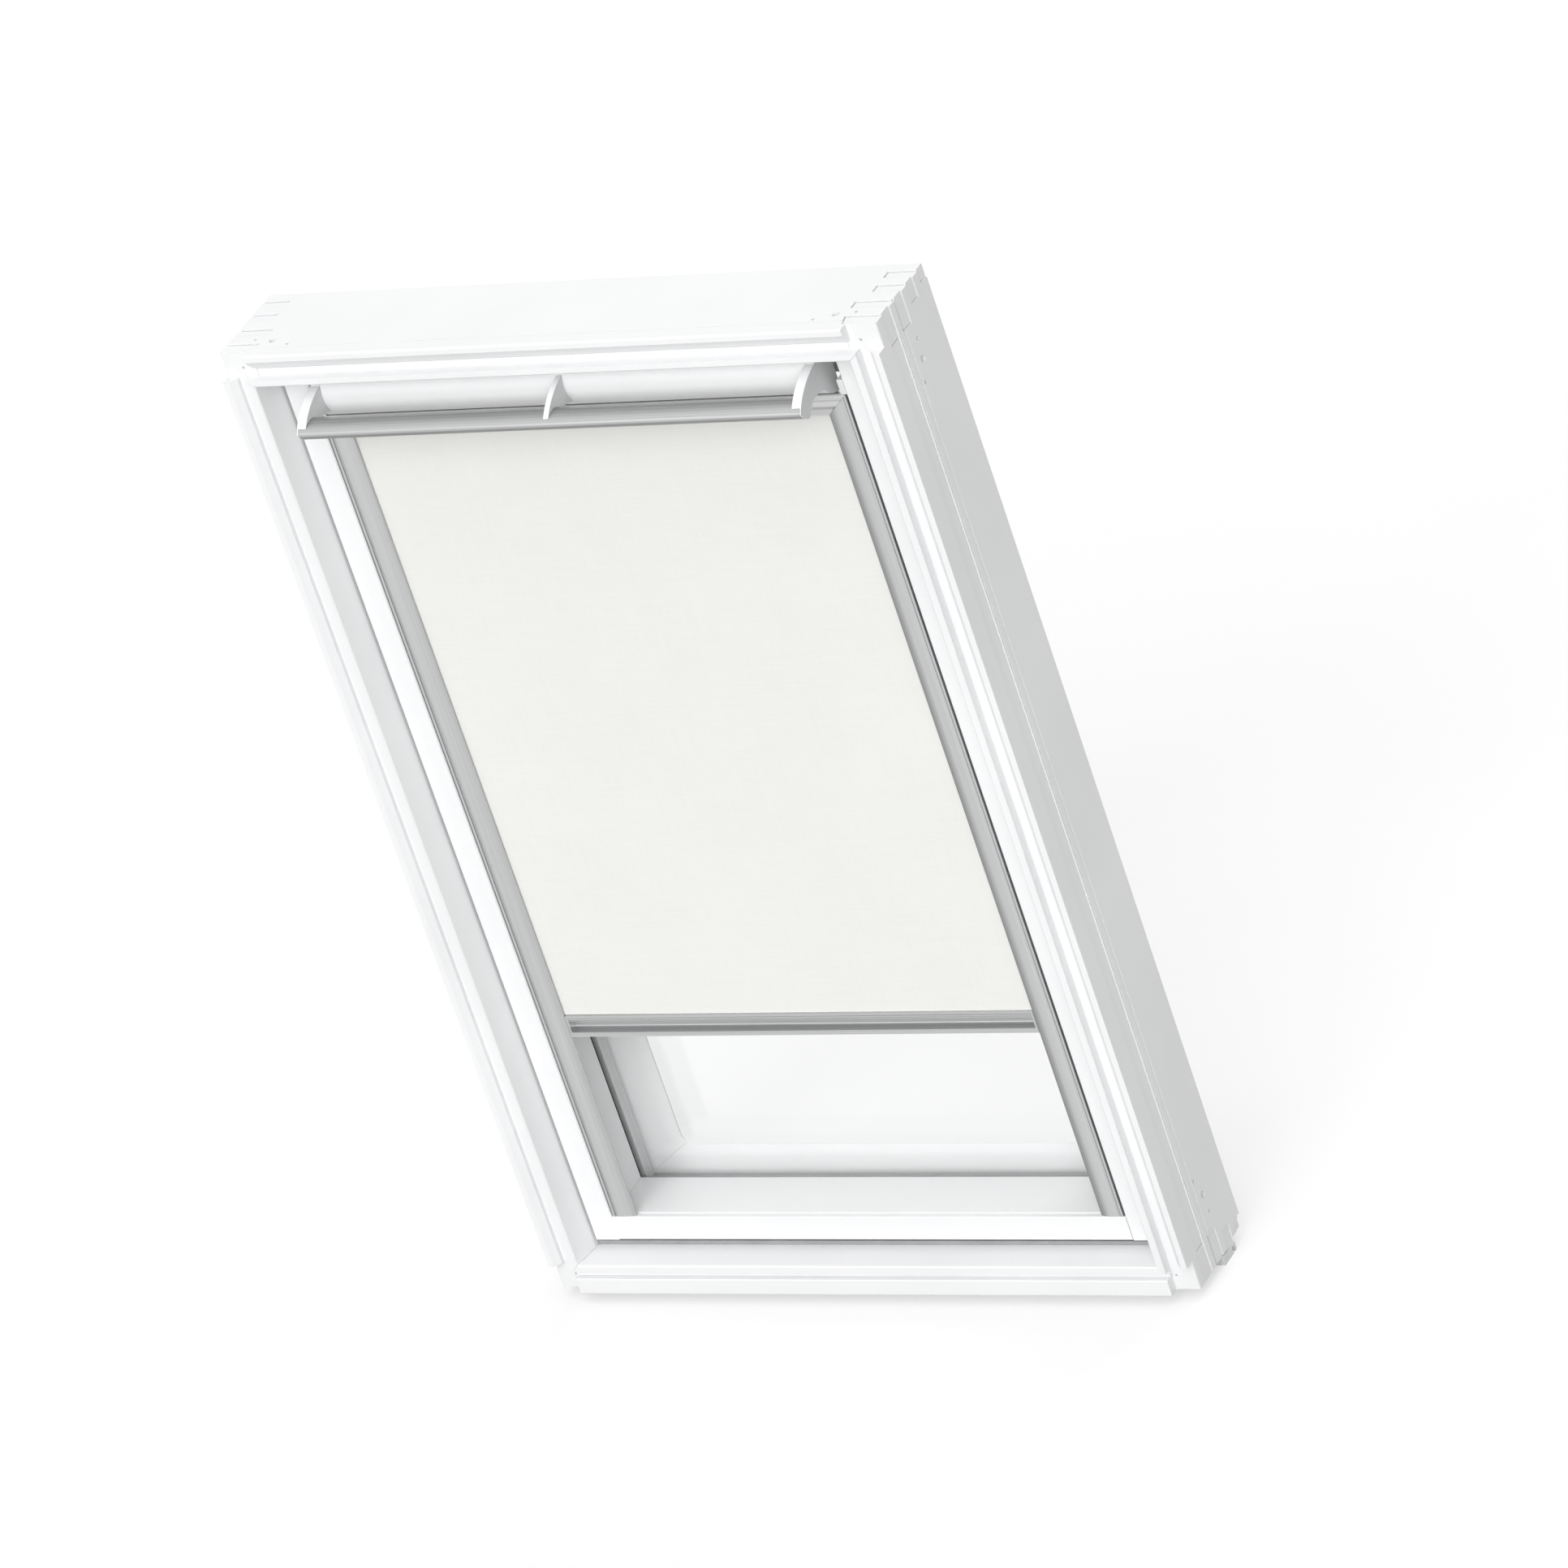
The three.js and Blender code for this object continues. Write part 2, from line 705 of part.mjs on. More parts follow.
function pivots() {
  const sashPlate = { y: sashPlateWidth / 2, z: sashPlateHeight / 2 };
  for (const [name, side] of Object.entries(sides)) {
    const faceX = sideWall + fit;
    const plate = cut(
      box([side * faceX, side * (sideRebate - fit)], framePlateSpan(0),
        [-framePlateHeight / 2, framePlateHeight / 2]),
      rod('X', axleRadius + fit, side * (faceX - overrun), side * (sideRebate + overrun), pivotDepth, 0),
    );
    piece(`pivot_plate_${name}`, plate, steel);

    const outer = sashHalfWidth - fit;
    const hub = join(
      box([side * (outer - sashPlateThickness), side * outer],
        [pivotDepth - sashPlate.y, pivotDepth + sashPlate.y], [-sashPlate.z, sashPlate.z]),
      rod('X', axleRadius, side * (outer - sashPlateThickness / 2), side * (outer + axleReach),
        pivotDepth, 0),
    );
    piece(`sash_pivot_${name}`, hub, steel);
  }
}

function sashPlatePocket(side) {
  const y = sashPlateWidth / 2 + fit;
  const z = sashPlateHeight / 2 + fit;
  const floor = sashHalfWidth - fit - sashPlateThickness - fit;
  return box([side * floor, side * (sashHalfWidth + overrun)],
    [pivotDepth - y, pivotDepth + y], [-z, z]);
}

function sashFrame() {
  for (const [name, side] of Object.entries(sides)) {
    const section = [
      [stileInner + sashArris, sashFace],
      [sashHalfWidth - sashArris, sashFace],
      [sashHalfWidth, sashFace + sashArris],
      [sashHalfWidth, unitEnd],
      [sashLipInner, unitEnd],
      [sashLipInner, ledgeDepth],
      [stileInner, ledgeDepth],
      [stileInner, sashFace + sashArris],
    ];
    const stile = prism('Z', flip(side, section), -sashHalfHeight, sashHalfHeight);
    piece(`sash_stile_${name}`, stile.subtract(sashPlatePocket(side)), white);
  }

  const railHalf = stileInner - fit;
  const lipHalf = sashLipInner - fit;
  const lipInnerZ = sashHalfHeight - railLipHeight;
  const stepFrom = sashFace + railStepStart;
  const stepTo = stepFrom + railStepWidth;
  const section = [
    [sashFace + sashArris, -sashHalfHeight],
    [ledgeDepth + fit, -sashHalfHeight],
    [ledgeDepth + fit, -lipInnerZ],
    [ledgeDepth, -lipInnerZ],
    [ledgeDepth, -railInner],
    [stepTo, -railInner],
    [stepTo, -railInner - railStepDepth],
    [stepFrom, -railInner - railStepDepth],
    ...arc(stepFrom - sashArris, -railInner - sashArris, sashArris, 0, 90, edgeCurve),
    ...arc(sashFace + sashArris, -railInner - sashArris, sashArris, 90, 180, edgeCurve),
    [sashFace, -sashHalfHeight + sashArris],
  ];
  const lowerLip = [-sashHalfHeight, -lipInnerZ];
  const bottom = join(
    prism('X', section, -railHalf, railHalf),
    box([-lipHalf, lipHalf], [ledgeDepth + fit, unitEnd], lowerLip),
  );
  piece('sash_rail_bottom', bottom, white);

  const topInner = sashHalfHeight - topRailHeight;
  const pocketHalf = lockWidth / 2 + fit;
  const top = cut(
    join(
      box([-railHalf, railHalf], [topRailFace, ledgeDepth], [topInner, sashHalfHeight]),
      box([-lipHalf, lipHalf], [ledgeDepth + fit, unitEnd], [lipInnerZ, sashHalfHeight]),
      box([-railHalf, railHalf], [topRailFace, ledgeDepth + overrun], [lipInnerZ, sashHalfHeight]),
    ),
    box([-pocketHalf, pocketHalf], [lockStart - fit, lockStart + lockDepth + fit],
      [sashHalfHeight - lockHeight - fit, sashHalfHeight + overrun]),
  );
  piece('sash_rail_top', top, white);
}

function lock() {
  const caseHalf = lockWidth / 2;
  const top = sashHalfHeight - fit;
  const lockCase = box([-caseHalf, caseHalf], [lockStart, lockStart + lockDepth],
    [sashHalfHeight - lockHeight, top]);
  piece('lock_case', lockCase, steel);

  const strikerHalf = strikerWidth / 2;
  const striker = box([-strikerHalf, strikerHalf], [strikerStart, strikerStart + strikerDepth],
    [sashHalfHeight + strikerTipGap, firstStep - fit]);
  piece('lock_striker', striker, steel);
}

function glassUnit() {
  const x = [-glassHalfWidth, glassHalfWidth];
  const z = [-glassHalfHeight, glassHalfHeight];
  piece('glass_inner', box(x, [paneStart, paneStart + paneThickness], z), clearGlass);
  piece('glass_outer', box(x, [unitEnd - paneThickness, unitEnd], z), clearGlass);

  const between = [paneStart + paneThickness + fit, unitEnd - paneThickness - fit];
  const edgeX = glassHalfWidth - fit;
  const edgeZ = glassHalfHeight - fit;
  const sideFrom = edgeX - sideSpacerWidth;
  const gasketY = [ledgeDepth + fit, ledgeDepth + fit + gasketThickness];
  const gasketOuter = railInner + gasketWidth;
  for (const [name, side] of Object.entries(sides)) {
    const spacer = box([side * sideFrom, side * edgeX], between, [-edgeZ, edgeZ]);
    piece(`glass_spacer_${name}`, spacer, spacerGrey);
    const gasketX = [side * (stileInner + fit), side * (stileInner + fit + gasketWidth)];
    piece(`glazing_gasket_${name}`, box(gasketX, gasketY, [-gasketOuter, gasketOuter]), darkRubber);
  }
  for (const [name, end] of Object.entries(ends)) {
    const spacerZ = [end * (edgeZ - endSpacerWidth), end * edgeZ];
    piece(`glass_spacer_${name}`, box([-sideFrom + fit, sideFrom - fit], between, spacerZ), spacerGrey);
    const gasketZ = [end * (railInner + fit), end * gasketOuter];
    piece(`glazing_gasket_${name}`, box([-stileInner, stileInner], gasketY, gasketZ), darkRubber);
  }
}

// The flat flange round the glass on the weather side, mitred at its corners
function sashCovers() {
  const outerX = sashHalfWidth - fit;
  const outerZ = sashHalfHeight - fit;
  const innerX = outerX - sashCoverWidth;
  const innerZ = outerZ - sashCoverHeight;
  const y = [unitEnd + fit, unitEnd + fit + sashCoverSheet];
  const r = sashCoverCorner;
  const hole = [
    ...arc(innerZ - r, innerX - r, r, 0, 90, cornerCurve),
    ...arc(-innerZ + r, innerX - r, r, 90, 180, cornerCurve),
    ...arc(-innerZ + r, -innerX + r, r, 180, 270, cornerCurve),
    ...arc(innerZ - r, -innerX + r, r, 270, 360, cornerCurve),
  ];
  const ring = box([-outerX, outerX], y, [-outerZ, outerZ])
    .subtract(prism('Y', hole, y[0] - overrun, y[1] + overrun));
  const mitreRun = innerX / 2;
  const slope = (outerZ - innerZ) / (outerX - innerX);
  const cornerZ = innerZ - mitreRun * slope;
  const cornerX = innerX - mitreRun;
  for (const [name, side] of Object.entries(sides)) {
    const wedge = [
      [outerZ - fit, side * outerX],
      [cornerZ - fit, side * cornerX],
      [-cornerZ + fit, side * cornerX],
      [-outerZ + fit, side * outerX],
    ];
    const part = ring.intersect(prism('Y', wedge, y[0] - overrun, y[1] + overrun));
    piece(`sash_cover_${name}`, part, lacquer);
  }
  for (const [name, end] of Object.entries(ends)) {
    const wedge = [
      [end * outerZ, outerX],
      [end * cornerZ, cornerX],
      [end * cornerZ, -cornerX],
      [end * outerZ, -outerX],
    ];
    const part = ring.intersect(prism('Y', wedge, y[0] - overrun, y[1] + overrun));
    piece(`sash_cover_${name}`, part, lacquer);
  }
}

// Outer skin of the control bar, (y, z), from its back edge over the top to its lower edge,
// as shares of the bar's reach and drop measured from the flap's axis
const barSkinShares = [
  [0.685, 0.68], [0.745, 0.53], [0.79, 0.475], [0.835, 0.49], [0.885, 0.55], [0.93, 0.64],
  [0.965, 0.765], [0.988, 0.9], [0.998, 1.03], [0.992, 1.2], [0.965, 1.42], [0.92, 1.65],
  [0.875, 1.81], [0.835, 1.89], [0.8, 1.82],
];
const barSkin = barSkinShares.map(([reachShare, dropShare]) =>
  [flapAxisDepth - reachShare * barReach, flapAxis - dropShare * barDrop]);

// Points moved sideways from a run of points, to its right if the distance is positive
function offsetRun(points, distance) {
  return points.map(([a, b], i) => {
    const [a0, b0] = points[Math.max(i - 1, 0)];
    const [a1, b1] = points[Math.min(i + 1, points.length - 1)];
    const length = Math.hypot(a1 - a0, b1 - b0);
    return [a + (b1 - b0) / length * distance, b - (a1 - a0) / length * distance];
  });
}

// A run of points made longer at both ends, along its first and last stretch
function extendRun(points, distance) {
  const beyond = ([a0, b0], [a1, b1]) => {
    const length = Math.hypot(a1 - a0, b1 - b0);
    return [a1 + (a1 - a0) / length * distance, b1 + (b1 - b0) / length * distance];
  };
  return [beyond(points[1], points[0]), ...points, beyond(points.at(-2), points.at(-1))];
}

// Side view of a flap arm, (y, z): the disc round the axis and the curved horn to the bar
function armHorn() {
  const place = ([reachShare, riseShare]) =>
    [flapAxisDepth - reachShare * barReach, flapAxis + riseShare * flapRadius];
  const onRim = (angle) => arc(flapAxisDepth, flapAxis, flapRadius, angle, angle, 1)[0];
  const nose = Math.ceil(barSkin.length / 2);
  return [
    ...bezier(onRim(hornTopAngle), ...hornTopShares.map(place), barSkin[nose], shortCurve),
    ...barSkin.slice(nose + 1),
    ...bezier(barSkin.at(-1), ...hornUnderShares.map(place), onRim(hornUnderAngle), shortCurve).slice(1),
    [flapAxisDepth - flapRadius / 2, flapAxis],
  ];
}

// The biggest of the bodies that a cut leaves
const largest = (body) => body.decompose().sort((a, b) => b.volume() - a.volume())[0];

function flap() {
  const skinArc = (radius, from, to) => arc(flapAxisDepth, flapAxis, radius, from, to, longCurve);
  const topAngle = 180 - THREE.MathUtils.radToDeg(Math.asin(flapTopRise / flapRadius));
  const shellHalf = armInner - fit;
  const shellSection = [
    ...skinArc(flapRadius, topAngle, 270),
    ...skinArc(flapRadius - flapWall, 270, topAngle),
  ];
  piece('flap_shell', prism('X', shellSection, -shellHalf, shellHalf), white);

  const barEnd = armOuter - armPlate - fit;
  const barFill = extendRun(offsetRun(barSkin, fit), barWall);
  const boss = 2 * flapAxleRadius;
  for (const [name, side] of Object.entries(sides)) {
    const x = [side * armInner, side * armOuter];
    const disc = [...skinArc(flapRadius, topAngle, 270), [flapAxisDepth, flapAxis + flapTopRise]];
    const arm = cut(
      join(
        prism('X', armHorn(), ...x),
        prism('X', disc, ...x),
        rod('X', boss, ...x, flapAxisDepth, flapAxis),
      ),
      prism('X', barFill, side * (armInner - overrun), side * (barEnd + fit)),
      rod('X', flapAxleRadius + fit, side * (armInner - overrun), side * (armOuter + overrun),
        flapAxisDepth, flapAxis),
    );
    piece(`flap_arm_${name}`, arm, white);
  }
  const middleHalf = middleArmWidth / 2;
  const wide = overrun + middleHalf;
  const middle = cut(
    prism('X', armHorn(), -middleHalf, middleHalf),
    prism('X', barFill, -wide, wide),
    rod('X', flapRadius + fit, -wide, wide, flapAxisDepth, flapAxis, bigCircle),
    box([-wide, wide], [flapAxisDepth - 2 * barReach, flapAxisDepth], [flapBottom, barFill.at(-1)[1]]),
  );
  piece('flap_arm_middle', largest(middle), white);

  const barSection = [...barSkin, ...offsetRun(barSkin, -barWall).reverse()];
  piece('control_bar', prism('X', barSection, -barEnd, barEnd), aluminium);

  const axleHalf = stileInner - fit;
  piece('flap_axle', rod('X', flapAxleRadius, -axleHalf, axleHalf, flapAxisDepth, flapAxis), steel);
}

// Section of the cassette, (y, z): a hood open below, with a stepped front
function cassetteSection() {
  const front = cassetteFace;
  const back = front + cassetteDepth;
  const wall = cassetteWall;
  const lip = front + wall + wall;
  return [
    ...cassetteFrontShares.map(([upShare, inShare]) =>
      [front + inShare * cassetteStep, cassetteBottom + upShare * cassetteHeight]),
    [lip + fit, cassetteFront],
    [lip + fit, cassetteTop],
    [back - wall, cassetteTop],
    [back, cassetteTop - wall],
    [back, cassetteBottom],
    [back - wall, cassetteBottom],
    [back - wall, cassetteTop - wall - fit],
    [back - wall - fit, cassetteTop - wall],
    [lip + fit, cassetteTop - wall],
    [lip, cassetteTop - wall - fit],
    [lip, cassetteBottom],
  ];
}

// At its ends the cassette's front gives way to the side channels on a mitre; this is the room
// beyond that line, down to the depth of the channel's face
function channelCorner(side, shift) {
  const far = cassetteEnd + overrun;
  const points = [
    [cassetteBottom - overrun, side * (channelInner - shift)],
    [cassetteBottom, side * (channelInner - shift)],
    [cassetteFront, side * (channelOuter - shift)],
    [cassetteFront + overrun, side * (channelOuter - shift)],
    [cassetteFront + overrun, side * far],
    [cassetteBottom - overrun, side * far],
  ];
  return prism('Y', points, cassetteFace - overrun, channelFace + channelWall + shift);
}

function cassette() {
  const hood = cut(
    prism('X', cassetteSection(), -cassetteEnd, cassetteEnd),
    ...Object.values(sides).map((side) => channelCorner(side, fit)),
  );
  piece('blind_cassette', hood, aluminium);

  const capY = [cassetteFace + 3 * cassetteWall, cassetteFace + cassetteDepth - cassetteWall - fit];
  const capZ = [cassetteBottom, cassetteTop - cassetteWall - fit - fit];
  const capOuter = cassetteEnd - fit;
  const capInner = capOuter - capThickness;
  const toeInner = stileInner - fit - bracketToe;
  const footInner = stileInner - fit - bracketFoot;
  const wallX = stileInner - fit;
  const bracketY = [cassetteFace + 4 * cassetteWall, cassetteFace + bracketDepth];
  const footZ = [cassetteTop + fit, cassetteTop + fit + bracketFootThickness];
  const toeZ = [cassetteFront + fit, cassetteFront + bracketHeight];
  for (const [name, side] of Object.entries(sides)) {
    const cap = cut(
      box([side * capInner, side * capOuter], capY, capZ),
      rod('X', rollPinRadius + fit, side * (capInner - overrun), side * (capOuter + overrun),
        rollDepth, rollHeight),
    );
    piece(`cassette_cap_${name}`, cap, plastic);
    const bracket = join(
      box([side * toeInner, side * wallX], [cassetteFace, cassetteFace + bracketDepth], toeZ),
      box([side * footInner, side * wallX], bracketY, footZ),
    );
    piece(`blind_bracket_${name}`, bracket, plastic);
  }

  const rollHalf = capInner - fit;
  const pinHalf = capOuter - fit;
  const roller = join(
    rod('X', rollRadius, -rollHalf, rollHalf, rollDepth, rollHeight),
    rod('X', rollPinRadius, -pinHalf, pinHalf, rollDepth, rollHeight),
  );
  piece('roller_tube', roller, aluminium);
}

// Section of a side channel, (x, y): a crowned face, a flange with its groove, an open inner side
// and a short return at the back that holds the bar's runner
function channelSection() {
  const flangeInner = channelOuter - channelFlange;
  const grooveInner = flangeInner - channelFlangeGroove;
  const flangeFace = channelFace - channelCrown;
  const grooveFloor = flangeFace + channelGrooveDepth;
  const crown = bezier(
    [grooveInner, flangeFace + channelWall / 2],
    [grooveInner - channelWidth / 4, flangeFace - channelWall / 4],
    [channelInner + channelWidth / 4, flangeFace + channelWall / 4],
    [channelInner, channelFace],
    cornerCurve,
  );
  const inside = channelFace + channelWall;
  return [
    [channelOuter, flangeFace],
    [flangeInner, flangeFace],
    [flangeInner, grooveFloor],
    [grooveInner, grooveFloor],
    ...crown,
    [channelInner, inside],
    [channelOuter - channelWall, inside],
    [channelOuter - channelWall, channelBack - channelWall],
    [channelOuter - channelReturn, channelBack - channelWall],
    [channelOuter - channelReturn, channelBack],
    [channelOuter, channelBack],
  ];
}

function channels() {
  for (const [name, side] of Object.entries(sides)) {
    const section = flip(side, channelSection());
    const channel = prism('Z', section, -railInner + fit, cassetteBottom - fit);
    const corner = prism('Z', section, cassetteBottom - fit, cassetteFront).intersect(channelCorner(side, 0));
    piece(`side_channel_${name}`, channel.add(corner), aluminium);
  }
}

// Section of the hem bar, (y, z): a grooved band, a deep hollow for the fingers and a lip under it
function hemSection() {
  const face = channelFace;
  const down = (share) => hemTop - share * hemHeight;
  const grooves = hemGrooveShares.flatMap((share) => [
    [face, down(share)],
    [face + hemGrooveDepth, down(share)],
    [face + hemGrooveDepth, down(share) - hemGrooveWidth],
    [face, down(share) - hemGrooveWidth],
  ]);
  return [
    [face, hemTop],
    ...grooves,
    ...hemGripShares.map(([downShare, inShare]) => [face + inShare * hemGripDepth, down(downShare)]),
    [face, hemBottom],
    [face + hemDepth, hemBottom],
    [face + hemDepth, hemTop],
  ];
}

function hem() {
  const bar = join(
    prism('X', hemSection(), -hemEnd, hemEnd),
    ...Object.values(sides).map((side) => box([side * (hemEnd - hemEndPlate), side * hemEnd],
      [channelFace, channelFace + hemDepth], [hemBottom, hemTop])),
  );
  piece('blind_bar', bar, aluminium);
  const middle = (hemTop + hemBottom) / 2;
  const slot = [channelFace + channelWall + runningGap, channelBack - channelWall - runningGap];
  const runnerInner = channelInner + runningGap;
  for (const [name, side] of Object.entries(sides)) {
    const runner = box([side * (hemEnd + fit), side * (runnerInner + runnerWidth)], slot,
      [middle - runnerHeight / 2, middle + runnerHeight / 2]);
    piece(`bar_runner_${name}`, runner, plastic);
  }
}

function fabric() {
  const half = channelInner + fabricEdge;
  const sheet = box([-half, half], [fabricDepth, fabricDepth + fabricThickness], [hemTop + fit, rollHeight]);
  piece('blind_fabric', sheet, cloth);
}

frameSides();
frameEnds();
frameStrips();
cornerPins();
frameTrim();
frameCovers();
pivots();
sashFrame();
lock();
glassUnit();
sashCovers();
flap();
cassette();
channels();
hem();
fabric();

export default model;
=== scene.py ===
import math

import bmesh
import bpy
from mathutils import Matrix, Vector


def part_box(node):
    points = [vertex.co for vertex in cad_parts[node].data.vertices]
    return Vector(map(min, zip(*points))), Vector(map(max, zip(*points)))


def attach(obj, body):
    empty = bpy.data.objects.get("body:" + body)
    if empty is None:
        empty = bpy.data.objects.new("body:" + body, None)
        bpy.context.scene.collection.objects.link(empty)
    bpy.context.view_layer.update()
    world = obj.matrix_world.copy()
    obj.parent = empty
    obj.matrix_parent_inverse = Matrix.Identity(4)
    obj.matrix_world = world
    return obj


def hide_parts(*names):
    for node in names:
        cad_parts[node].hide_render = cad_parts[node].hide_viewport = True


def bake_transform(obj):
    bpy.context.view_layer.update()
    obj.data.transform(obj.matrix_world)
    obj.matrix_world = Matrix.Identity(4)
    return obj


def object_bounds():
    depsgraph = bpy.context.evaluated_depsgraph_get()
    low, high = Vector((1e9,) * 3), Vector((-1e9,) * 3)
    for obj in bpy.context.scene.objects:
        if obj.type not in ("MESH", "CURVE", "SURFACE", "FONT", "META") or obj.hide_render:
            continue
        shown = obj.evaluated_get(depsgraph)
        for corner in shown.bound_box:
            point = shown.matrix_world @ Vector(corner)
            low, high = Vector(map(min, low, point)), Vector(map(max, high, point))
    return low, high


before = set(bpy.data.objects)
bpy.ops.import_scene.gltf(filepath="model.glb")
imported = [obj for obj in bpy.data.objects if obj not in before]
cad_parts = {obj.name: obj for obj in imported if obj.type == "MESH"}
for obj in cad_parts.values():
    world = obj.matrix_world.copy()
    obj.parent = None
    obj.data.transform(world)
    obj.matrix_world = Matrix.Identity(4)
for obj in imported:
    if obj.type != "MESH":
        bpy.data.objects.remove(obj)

# A roof window with its roller blind: finishes for the CAD solids, the cloth, screws and light

CAD_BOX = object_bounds()
MM = 0.001
PURE_WHITE = (1, 1, 1, 1)

# Camera: the photo's viewpoint in the window's own frame, with lens and sensor in millimetres
CAMERA_PLACE = Vector((5.998629, -8.423643, 5.426657))
CAMERA_RIGHT = Vector((0.86126151, 0.41610177, -0.29169834))
CAMERA_DOWN = Vector((-0.01914815, -0.54704462, -0.83688442))
CAMERA_AHEAD = Vector((-0.5078011, 0.72636183, -0.4631809))
CAMERA_LENS = 259.235
CAMERA_SENSOR = 36.0
CAMERA_NEAR = 0.1
CAMERA_FAR = 200

# Suns: name, direction in which the light travels, strength, and width in degrees
SUNS = (
    ("front", (-0.22, 0.9, -0.4), 2.28, 60),
    ("top", (0.05, 0.15, -0.98), 0.6, 50),
    ("back", (-0.15, -0.75, -0.6), 0.8, 50),
)

# World: its strength as light, and its strength where it is seen
WORLD_LIGHT = 0.45
WORLD_SEEN = 1.0

# Floor: where it is seen, it is part paint and part glow; all other light meets the dull colour
FLOOR_RADIUS = 60
FLOOR_SEGMENTS = 96
FLOOR_PAINT = {"dark": (0.92, 0.92, 0.92), "light": (0.94, 0.94, 0.94)}
FLOOR_GLOW = 1.06
FLOOR_GLOW_SHARE = 0.5
FLOOR_DULL = (0.4, 0.4, 0.4, 1)

# Bevelled edges, and how far two faces may turn before their edge counts as sharp
PAINT_EDGE = 0.6 * MM
METAL_EDGE = 0.3 * MM
FINE_EDGE = METAL_EDGE / 2
BEVEL_SEGMENTS = 2
SHARP_ANGLE = math.radians(32)

# Spans that hold most values of a noise, of two noises multiplied, and of the cloth's shade
NOISE_SPAN = (0.3, 0.7)
PRODUCT_SPAN = (0.12, 0.42)
CLOTH_SPAN = (0.5, 0.85)

# Painted shade and highlight: the axis that a face leans along, and the painted tone at each lean
# from -1 to 1
BAR_PAINTED_SHADE = (
    "Z",
    ((-0.9, 0.4), (-0.35, 0.6), (-0.12, 1.0), (0.15, 0.97), (0.45, 0.85), (0.85, 0.75), (1.0, 0.7)),
)
CASSETTE_PAINTED_SHADE = ("Z", ((-0.8, 0.31), (-0.1, 0.56), (0.1, 0.7), (0.55, 0.72), (0.85, 1.0)))
CHANNEL_PAINTED_SHADE = (
    "X",
    ((-0.6, 0.35), (-0.25, 0.5), (-0.08, 0.93), (0.08, 0.93), (0.4, 0.68), (1.0, 0.9)),
)
ARM_PAINTED_SHADE = ("X", ((-0.8, 0.72), (-0.3, 1.0), (0.3, 1.0), (0.8, 0.72)))

# Colours
WHITE_COAT = {"dark": (0.84, 0.845, 0.85), "light": (0.88, 0.885, 0.89)}
CLOTH_COLOURS = {"dark": (0.805, 0.81, 0.782), "light": (0.835, 0.84, 0.812)}
GLASS_COLOUR = (0.997, 1.0, 0.999, 1)

# Cloth: columns across, and the height of the short row at each end
CLOTH_COLUMNS = 48
CLOTH_END_ROW = 1.5 * MM

# Screw heads: the outline from the underside up, as shares of the radius and of the height, then
# the cross recess: arm length and half the slot's width as shares of the radius, and its floor's
# height as a share of the head's. The tiny number keeps a division from meeting zero.
HEAD_SEGMENTS = 48
HEAD_OUTLINE = ((1, 0), (1, 0.35), (0.96, 0.62), (0.86, 0.86), (0.72, 1))
RECESS_ARM = 0.62
RECESS_HALF_SLOT = 0.13
RECESS_FLOOR = 0.25
TINY = 1e-6

# Screws in the side covers: size, how far in from the cover's outer edge, shares of its height, and
# the turn from each screw to the next in radians
COVER_SCREW = {"radius": 4 * MM, "height": 1.8 * MM}
COVER_SCREW_INSET = 10 * MM
COVER_SCREW_SHARES = (0.06, 0.35, 0.65, 0.94)
COVER_SCREW_TURN = 0.7

# Screws in the pivot plates: size, places as shares of the plate's depth and of its half height,
# and the turn from each screw to the next. The stub axle reaches past the sash plate's face, so a
# box can't tell that face, and it is found from the frame's plate and the gap between the two.
PLATE_SCREW = {"radius": 3.6 * MM, "height": 0.25 * MM}
PLATE_SCREW_PLACES = ((-0.3, -0.8), (0.3, -0.8), (-0.3, 0.8), (0.3, 0.8))
PLATE_SCREW_TURN = 0.5
PLATE_GAP = 3.55 * MM


def make_camera():
    data = bpy.data.cameras.new("camera")
    data.lens = CAMERA_LENS
    data.sensor_width = CAMERA_SENSOR
    data.clip_start = CAMERA_NEAR
    data.clip_end = CAMERA_FAR
    camera = bpy.data.objects.new("camera", data)
    bpy.context.scene.collection.objects.link(camera)
    columns = Matrix((CAMERA_RIGHT, -CAMERA_DOWN, -CAMERA_AHEAD)).transposed()
    camera.matrix_world = Matrix.Translation(CAMERA_PLACE) @ columns.to_4x4()
    bpy.context.scene.camera = camera


def make_suns():
    for name, travel, strength, width in SUNS:
        data = bpy.data.lights.new(name, "SUN")
        data.energy = strength
        data.angle = math.radians(width)
        light = bpy.data.objects.new(name, data)
        light.rotation_mode = "QUATERNION"
        light.rotation_quaternion = Vector(travel).to_track_quat("-Z", "Y")
        bpy.context.scene.collection.objects.link(light)


